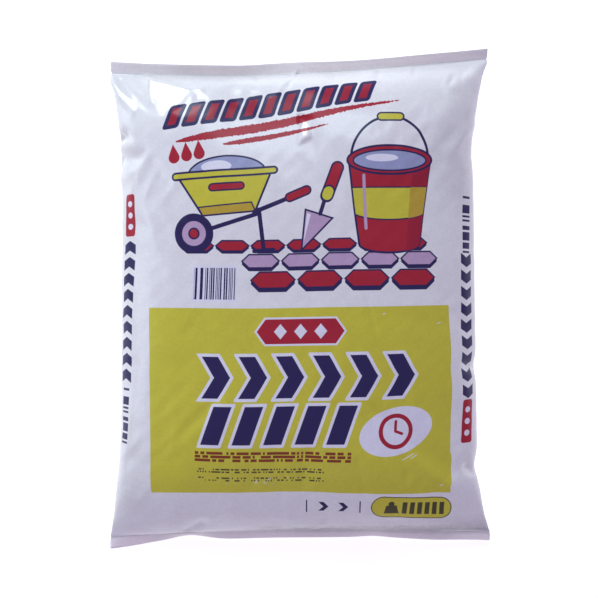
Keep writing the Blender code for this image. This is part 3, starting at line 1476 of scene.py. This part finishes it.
def panel() -> list[Printed]:
    """The yellow panel with bold bands, a badge, a clock and worn fine rows.

    A small oval rounds the sheet's right side, and a very large one hollows its lower edge.

    Returns:
        What is printed.
    """
    sheet = Shared(
        Joined((
            Convex(((-127.6, -5.2), (129.8, -5.2), (135.4, -166.0), (-122.8, -166.0))),
            Oval((127.0, -146.0), (11.0, 22.0)))),
        Oval((8.0, -2662.7), (2500.0, 2500.0)), hollow=True)
    ribbon = Convex((
        (-35.5, -25.0), (-27.5, -13.8), (32.5, -13.8), (40.5, -25.0), (32.5, -36.2),
        (-27.5, -36.2)))
    gem = Convex(((-5.4, 0.0), (0.0, 6.4), (5.4, 0.0), (0.0, -6.4)))
    mark = Row((9.4, -63.2), 0.5, 31.2, 6, Bend(8.4, 19.0, 0.62))
    blocks = Row((-14.4, -104.2), 0.5, 26.5, 5, Block((0.0, 0.0), (9.0, 17.6), 0.3), 0.34)
    face = (84.9, -110.0)
    return [
        Printed(sheet, YELLOW),
        Printed(ribbon, RED, WHITE, 1.6),
        Printed(Row((2.5, -25.0), 0.0, 17.0, 3, gem), WHITE),
        Printed(mark, NAVY, WHITE, 2.6),
        Printed(blocks, NAVY, WHITE, 2.6),
        Printed(Oval(face, (32.0, 20.0), 14.0), WHITE),
        Printed(Shared(Oval(face, (15.0, 15.0)), Oval(face, (11.4, 11.4)), hollow=True), RED),
        Printed(Joined((bar(face, (84.9, -101.6), 1.2), bar(face, (90.6, -112.2), 1.2))), RED),
        Printed(Dashes((-19.0, -131.0), 66.0, 3, 3.1, 1.2, 1.7, 0.70), RUST),
        Printed(Dashes((-28.5, -143.2), 54.0, 2, 2.3, 0.7, 1.1, 0.55), OLIVE),
        Printed(Dashes((-28.5, -150.9), 54.0, 2, 2.3, 0.7, 1.1, 0.42), OLIVE),
    ]


def small_marks() -> list[Printed]:
    """The marks below the panel, and the bar block above it.

    Returns:
        What is printed.
    """
    weight = Joined((
        Convex(((77.0, -184.8), (90.0, -184.8), (88.0, -175.8), (79.0, -175.8))),
        Oval((83.5, -174.2), (2.7, 2.7))))
    lines = Row((111.5, -180.2), -4.0, 6.6, 6, Block((0.0, 0.0), (2.1, 6.4), 0.4))
    bars = Block((0.0, 0.0), (0.55, 6.4))
    return [
        Printed(Block((101.4, -179.4), (35.2, 11.0), 10.9, -4.0), YELLOW, OLIVE, 0.9),
        Printed(Joined((weight, lines)), OLIVE),
        Printed(Row((33.4, -177.4), 0.0, 17.0, 2, Bend(2.2, 4.8, 0.9)), NAVY),
        Printed(Row((33.4, -177.4), 0.0, 46.0, 2, bars), NAVY),
        Printed(Block((-71.4, 15.5), (19.4, 15.4)), WHITE),
        Printed(Dashes((-71.4, 15.5), 17.6, 1, 60.0, 13.4, 0.62, 0.52), NAVY),
    ]


def column(
        middle: float, block: float, chevrons: float, dashes: float, lean: float) -> list[Printed]:
    """The marks beside one side fold: a red block, a row of chevrons and fine dashes.

    Args:
        middle: The column's place across the film.
        block: The red block's place along it.
        chevrons: The middle of the chevrons' row.
        dashes: The middle of the dashes.
        lean: The chevrons' lean, positive where they point to the head.

    Returns:
        What is printed.
    """
    return [
        Printed(Block((middle, block), (5.6, 18.6), 2.4), RED),
        Printed(Row((middle, block), 90.0, 10.0, 3, Oval((0.0, 0.0), (2.6, 2.8))), WHITE),
        Printed(Row((middle, chevrons), 90.0, 14.1, 9, Bend(4.3, 6.6, lean)), NAVY),
        Printed(Dashes((middle, dashes), 25.5, 1, 60.0, 4.4, 1.8, 0.6, 90.0), NAVY),
    ]


def scuffs() -> list[Printed]:
    """Small places where the panel's ink is scratched off.

    Returns:
        What is printed.
    """
    marks = (
        ((119.0, -20.6), (121.6, -19.6)), ((126.0, -159.0), (128.4, -158.2)),
        ((72.0, -11.6), (73.6, -11.0)), ((92.0, -134.4), (101.0, -129.6)),
        ((99.0, -133.4), (104.0, -130.8)))
    return [Printed(Joined(tuple(bar(start, end, 0.35) for start, end in marks)), WHITE)]


def back_print() -> list[Printed]:
    """The lower film's plain print: a ruled table below a yellow band.

    Returns:
        What is printed.
    """
    middle = BACK_MIDDLE
    frame_line = Shared(
        Block((middle, -50.0), (118.0, 118.0), 3.0),
        Block((middle, -50.0), (116.8, 116.8), 2.0), hollow=True)
    return [
        Printed(Block((middle, 118.0), (118.0, 22.0), 3.0), YELLOW),
        Printed(Row((middle, 118.0), 0.0, 17.0, 7, Oval((0.0, 0.0), (5.6, 5.6))), RED),
        Printed(frame_line, NAVY),
        Printed(Dashes((middle, -50.0), 104.0, 17, 12.0, 1.9, 2.4, 0.66), NAVY),
    ]


@dataclass(frozen=True)
class PaintedShading:
    """A soft oval patch of painted light and shade: the film is lighter or darker by a share,
    with a ragged edge.

    It has a place, half axes, a change of tone, and half its edge's width in millimetres.
    """

    at: Point
    half: Point
    change: float
    soft: float = 8.0


@dataclass(frozen=True)
class FilmFinish:
    """White printed film: soft gloss, faint crinkle, and matt ribbed fins.

    Sizes are in millimetres on the print, but fold_at and middle_at, which give the upper film's
    middle in the film map's metres.
    """

    film: Colour = (0.824, 0.814, 0.765)
    fin: Colour = (0.82, 0.765, 0.72)
    film_gloss: float = 0.50
    film_roughness: float = 0.22
    ink_roughness: float = 0.32
    ink_gloss: float = 0.30
    fin_roughness: float = 0.62
    cloudy_roughness: float = 0.12
    print_turn: float = -1.06
    fold_at: float = 0.1648
    middle_at: float = 0.2244
    fin_from_middle: float = 215.0
    cloud: float = 0.030
    cloud_size: float = 9.0
    mottle: float = 0.10
    mottle_size: float = 2.0
    # Painted shade: a dark line in the crease just inside each seal
    seal_shade: float = 0.14
    seal_line_inset: float = 1.0
    seal_line: Point = (0.5, 0.4)
    fin_edge: float = 0.35
    crinkle: float = 0.045
    head_crinkle: float = 0.055
    crinkle_size: float = 7.5
    crumpled: Oval = Oval((0.0, 208.0), (170.0, 26.0))
    crumpled_edge: float = 14.0
    grain: float = 0.006
    grain_size: float = 0.9
    rib: float = 0.030
    rib_pitch: float = 1.05
    tick: float = 0.080
    tick_pitch: float = 2.7
    tick_slant: float = 0.5
    ticked: Block = Block((45.0, 220.0), (52.0, 8.0))
    ticked_edge: float = 6.0
    worn: Oval = Oval((-30.0, -152.0), (46.0, 7.0))
    worn_edge: float = 4.0
    worn_level: float = 0.80
    worn_more: float = 0.20
    speck_size: float = 4.2
    speck_contrast: float = 14.0
    ragged: float = 5.0
    # Patches of painted light and shade: lighter and darker ovals on the fins, along the seals and
    # on the sides
    patches: tuple[PaintedShading, ...] = (
        # Painted shade: the head fin's left end darker
        PaintedShading((-120.0, 220.0), (30.0, 8.0), -0.10),
        # Painted light: the head fin's middle lighter
        PaintedShading((68.0, 220.0), (72.0, 8.0), 0.14, 14.0),
        # Painted light: the foot fin's left corner lighter
        PaintedShading((-156.0, -220.0), (24.0, 9.0), 0.17),
        # Painted light: the foot fin's right corner lighter
        PaintedShading((158.0, -220.0), (24.0, 9.0), 0.15),
        # Painted light: the foot fin lighter towards its edge
        PaintedShading((0.0, -226.0), (200.0, 5.0), 0.09, 4.0),
        # Painted shade: the body darker just above the foot seal
        PaintedShading((66.0, -203.0), (112.0, 8.0), -0.12, 5.0),
        # Painted shade: a dark line in the crease just above the foot seal
        PaintedShading((68.0, -210.5), (108.0, 5.0), -0.40, 4.0),
        # Painted light: a lighter band below the head seal
        PaintedShading((50.0, 197.0), (104.0, 13.0), 0.09),
        # Painted shade: the right side darker below the head
        PaintedShading((142.0, 132.0), (22.0, 54.0), -0.08, 12.0),
        # Painted shade: the left side darker towards the foot
        PaintedShading((-146.0, -140.0), (14.0, 44.0), -0.07, 10.0))

    def material(self, prints: list[Printed]) -> bpy.types.Material:
        """Makes the film's material.

        Args:
            prints: What is printed, in order from the first ink to the last.

        Returns:
            The material.
        """
        bench = MaterialBench("printed_film")
        place = self.place(bench)
        film = bench.frame(place, (0.0, 0.0), -self.print_turn)
        cloud = bench.noise(film, self.cloud_size, detail=3.0, roughness=0.55)
        tone = self.tone(bench, film, cloud)
        colour = self.lay_inks(bench, place, prints)
        wear = self.wear(bench, film)
        colour = bench.mix(wear, colour, (*self.film, 1.0))
        fin = self.fin_mask(bench, film)
        colour = bench.mix(fin, colour, (*self.fin, 1.0))
        toned = bench.node("ShaderNodeVectorMath", {0: colour, "Scale": tone}, operation="SCALE")
        bench.tree.links.new(toned.outputs[0], bench.shader.inputs["Base Color"])
        inked = self.inked(bench, colour)
        gloss = bench.blend(inked, self.film_gloss, self.ink_gloss)
        bench.tree.links.new(gloss, bench.shader.inputs["Specular IOR Level"])
        rough = bench.blend(inked, self.film_roughness, self.ink_roughness)
        rough = bench.blend(fin, rough, self.fin_roughness)
        cloudy = bench.math(
            "MULTIPLY_ADD", cloud, self.cloudy_roughness, -0.5 * self.cloudy_roughness)
        rough = bench.math("ADD", rough, cloudy)
        bench.tree.links.new(rough, bench.shader.inputs["Roughness"])
        self.relief(bench, film, fin)
        return bench.material

    def tone(self, bench: Bench, film: Socket, cloud: Socket) -> Socket:
        """Gives the film's tone, a factor near 1.

        It sums broad clouds, a fine mottle, a dark line of painted shade just inside each seal,
        and the patches of painted light and shade, whose edges the clouds make ragged.

        Args:
            bench: The material's bench.
            film: Places on the film.
            cloud: The clouds, 0 to 1.

        Returns:
            The factor.
        """
        fine = bench.noise(film, self.mottle_size, detail=3.0, roughness=0.6)
        broad = bench.math("MULTIPLY_ADD", cloud, 2 * self.cloud, 1.0 - self.cloud - self.mottle)
        tone = bench.math("MULTIPLY_ADD", fine, 2 * self.mottle, broad)
        # A line of painted shade in the crease just inside each seal
        _, along = bench.split(film)
        at = self.seal_line_inset - self.fin_from_middle
        from_line = bench.math("ADD", bench.math("ABSOLUTE", along), at)
        half, soft = self.seal_line
        away = bench.math("SUBTRACT", bench.math("ABSOLUTE", from_line), half)
        line = bench.inside(away, soft, clamp=True)
        tone = bench.math("MULTIPLY_ADD", line, -self.seal_shade, tone)
        ragged = bench.math("MULTIPLY_ADD", cloud, self.ragged, -0.5 * self.ragged)
        # The patches of painted light and shade
        for patch in self.patches:
            distance = bench.math("ADD", Oval(patch.at, patch.half).distance(bench, film), ragged)
            share = bench.inside(distance, patch.soft, clamp=True)
            tone = bench.math("MULTIPLY_ADD", share, patch.change, tone)
        return tone

    def place(self, bench: Bench) -> Socket:
        """Gives places on the print in millimetres from the upper film's middle.

        Args:
            bench: The material's bench.

        Returns:
            The places.
        """
        film = bench.node("ShaderNodeUVMap", {}, uv_map="film").outputs[0]
        inputs = {
            "Vector": film, "Location": (self.fold_at, self.middle_at, -0.001),
            "Rotation": (0.0, 0.0, math.radians(self.print_turn)), "Scale": (0.001, 0.001, 0.001)}
        return bench.node("ShaderNodeMapping", inputs, vector_type="TEXTURE").outputs[0]

    def lay_inks(self, bench: Bench, place: Socket, prints: list[Printed]) -> Socket:
        """Lays the inks over each other.

        Args:
            bench: The material's bench.
            place: Places on the print.
            prints: What is printed.

        Returns:
            The printed film's colour.
        """
        colour = (*self.film, 1.0)
        for printed in prints:
            inputs = {0: colour, 1: place}
            colour = bench.node("ShaderNodeGroup", inputs, node_tree=printed.group()).outputs[0]
        return colour

    def inked(self, bench: Bench, colour: Socket) -> Socket:
        """Gives how far colour covers the film: every ink but white reflects less blue than it."""
        blue = bench.node("ShaderNodeSeparateColor", {0: colour}).outputs[2]
        return bench.math("MULTIPLY_ADD", blue, -1.0 / self.film[2], 1.0, clamp=True)

    def wear(self, bench: Bench, film: Socket) -> Socket:
        """Gives where the ink has rubbed off: specks everywhere, patches on the fine rows.

        Args:
            bench: The material's bench.
            film: Places on the film.

        Returns:
            The mask.
        """
        worn = self.worn.distance(bench, film)
        patch = bench.inside(worn, self.worn_edge, clamp=True)
        level = bench.math("MULTIPLY_ADD", patch, -self.worn_more, self.worn_level)
        speck = bench.noise(film, self.speck_size, detail=5.0, roughness=0.62)
        over = bench.math("SUBTRACT", speck, level)
        return bench.math("MULTIPLY", over, self.speck_contrast, clamp=True)

    def fin_mask(self, bench: Bench, film: Socket) -> Socket:
        """Gives 1 on the two fins and 0 between the seals.

        Args:
            bench: The material's bench.
            film: Places on the film.

        Returns:
            The mask.
        """
        _, along = bench.split(film)
        distance = bench.math("SUBTRACT", self.fin_from_middle, bench.math("ABSOLUTE", along))
        return bench.inside(distance, self.fin_edge, clamp=True)

    def relief(self, bench: MaterialBench, film: Socket, fin: Socket) -> None:
        """Adds the film's crinkle and grain, and the fins' ribs and ticks, as bump in millimetres.

        Args:
            bench: The material's bench.
            film: Places on the film.
            fin: The mask of the two fins.
        """
        crumpled = self.crumpled.distance(bench, film)
        near_head = bench.inside(crumpled, self.crumpled_edge, clamp=True)
        depth = bench.math("MULTIPLY_ADD", near_head, self.head_crinkle, self.crinkle)
        crinkle = bench.math("MULTIPLY", bench.noise(film, self.crinkle_size, detail=2.5), depth)
        grain = bench.math("MULTIPLY", bench.noise(film, self.grain_size, detail=1.0), self.grain)
        across, along = bench.split(film)
        wave = bench.math("SINE", bench.math("MULTIPLY", along, 2 * math.pi / self.rib_pitch))
        slanted = bench.math("MULTIPLY_ADD", along, self.tick_slant, across)
        tick = bench.math("SINE", bench.math("MULTIPLY", slanted, 2 * math.pi / self.tick_pitch))
        ticked = self.ticked.distance(bench, film)
        ticked = bench.inside(ticked, self.ticked_edge, clamp=True)
        ticks, ribs = bench.math("MULTIPLY", tick, ticked), bench.math("MULTIPLY", wave, self.rib)
        rib = bench.math("MULTIPLY_ADD", ticks, self.tick, ribs)
        height = bench.math("MULTIPLY_ADD", rib, fin, bench.math("ADD", crinkle, grain))
        bump = bench.node("ShaderNodeBump", {"Strength": 1.0, "Distance": 0.001, "Height": height})
        bench.tree.links.new(bump.outputs[0], bench.shader.inputs["Normal"])


COOL: Colour = (0.825, 1.0, 1.063)
MAUVE: Colour = (1.143, 1.0, 1.524)


@dataclass(frozen=True)
class Lamp:
    """A square soft light aimed at the sack, from a heading and a height in degrees."""

    name: str
    heading: float
    rise: float
    power: float
    colour: Colour
    size: float = 0.8
    away: float = 1.8

    def hang(self) -> None:
        """Hangs the light."""
        data = bpy.data.lights.new(self.name, "AREA")
        data.size, data.energy, data.color = self.size, self.power, self.colour
        lamp = bpy.data.objects.new(self.name, data)
        heading, rise = math.radians(self.heading), math.radians(self.rise)
        flat = self.away * math.cos(rise)
        up = self.away * math.sin(rise)
        place = Vector((flat * math.cos(heading), flat * math.sin(heading), up))
        lamp.location = place
        lamp.rotation_euler = (-place).to_track_quat("-Z", "Y").to_euler()
        bpy.context.scene.collection.objects.link(lamp)


@dataclass
class Studio:
    """White floor, soft lights and the camera above the sack."""

    distance: float = 1.60
    outline_height: float = 0.022
    frame_side: float = 0.5125
    sensor: float = 36.0
    clip: Point = (0.05, 20.0)
    roll: float = math.radians(-0.35)
    centre: Point = (0.0001, -0.0001)
    floor_half: float = 3.0
    floor_tone: float = 0.93
    floor_roughness: float = 0.9
    floor_glow: float = 0.54
    sky: Colour = MAUVE
    sky_strength: float = 0.327
    lamps: tuple[Lamp, ...] = (
        Lamp("window", 108, 23, 5.9, COOL, 0.3), Lamp("left_low", 150, 12, 4.9, COOL),
        Lamp("left", 180, 28, 3.5, COOL), Lamp("head", 90, 50, 7.2, COOL),
        Lamp("foot", -90, 50, 0.4, MAUVE))

    def build(self) -> None:
        """Builds the studio."""
        self.camera()
        self.floor()
        for lamp in self.lamps:
            lamp.hang()
        world = bpy.data.worlds.new("studio")
        world.use_nodes = True
        background = world.node_tree.nodes["Background"]
        background.inputs["Color"].default_value = (*self.sky, 1)
        background.inputs["Strength"].default_value = self.sky_strength
        bpy.context.scene.world = world
        bpy.context.scene.view_settings.view_transform = "Standard"

    def camera(self) -> None:
        """Looks straight down, a little turned, with the frame's side at the outline's height."""
        data = bpy.data.cameras.new("camera")
        data.sensor_width = self.sensor
        data.lens = data.sensor_width * self.distance / self.frame_side
        data.clip_start, data.clip_end = self.clip
        camera = bpy.data.objects.new("camera", data)
        camera.location = (*self.centre, self.distance + self.outline_height)
        camera.rotation_euler = (0.0, 0.0, self.roll)
        bpy.context.scene.collection.objects.link(camera)
        bpy.context.scene.camera = camera

    def floor(self) -> None:
        """Lays a plain white floor that glows faintly, as a light table does."""
        data = bpy.data.meshes.new("floor")
        side = self.floor_half
        corners = [(-side, -side, 0), (side, -side, 0), (side, side, 0), (-side, side, 0)]
        data.from_pydata(corners, [], [(0, 1, 2, 3)])
        floor = bpy.data.objects.new("floor", data)
        bpy.context.scene.collection.objects.link(floor)
        material = bpy.data.materials.new("floor_paper")
        material.use_nodes = True
        shader = material.node_tree.nodes["Principled BSDF"]
        shader.inputs["Base Color"].default_value = (self.floor_tone,) * 3 + (1,)
        shader.inputs["Roughness"].default_value = self.floor_roughness
        shader.inputs["Emission Color"].default_value = (1.0, 1.0, 1.0, 1)
        shader.inputs["Emission Strength"].default_value = self.floor_glow
        data.materials.append(material)


def main() -> None:
    """Builds the sack and the studio."""
    sack = Sack().build()
    log.info("sack_film: %d faces", len(sack.data.polygons))
    prints = [
        *slanted_band(), *pavers(), *wheelbarrow(), *trowel(), *bucket(), *panel(), *small_marks(),
        *column(middle=-151.5, block=76.0, chevrons=-9.0, dashes=-102.0, lean=0.55),
        *column(middle=149.4, block=-105.0, chevrons=-23.0, dashes=63.0, lean=-0.55),
        *scuffs(), *back_print()]
    sack.data.materials.append(FilmFinish().material(prints))
    log.info("film finish: %d prints", len(prints))
    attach(sack, "root")
    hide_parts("sack")
    Studio().build()


if __name__ == "__main__":
    logging.basicConfig(level=logging.INFO)
    main()
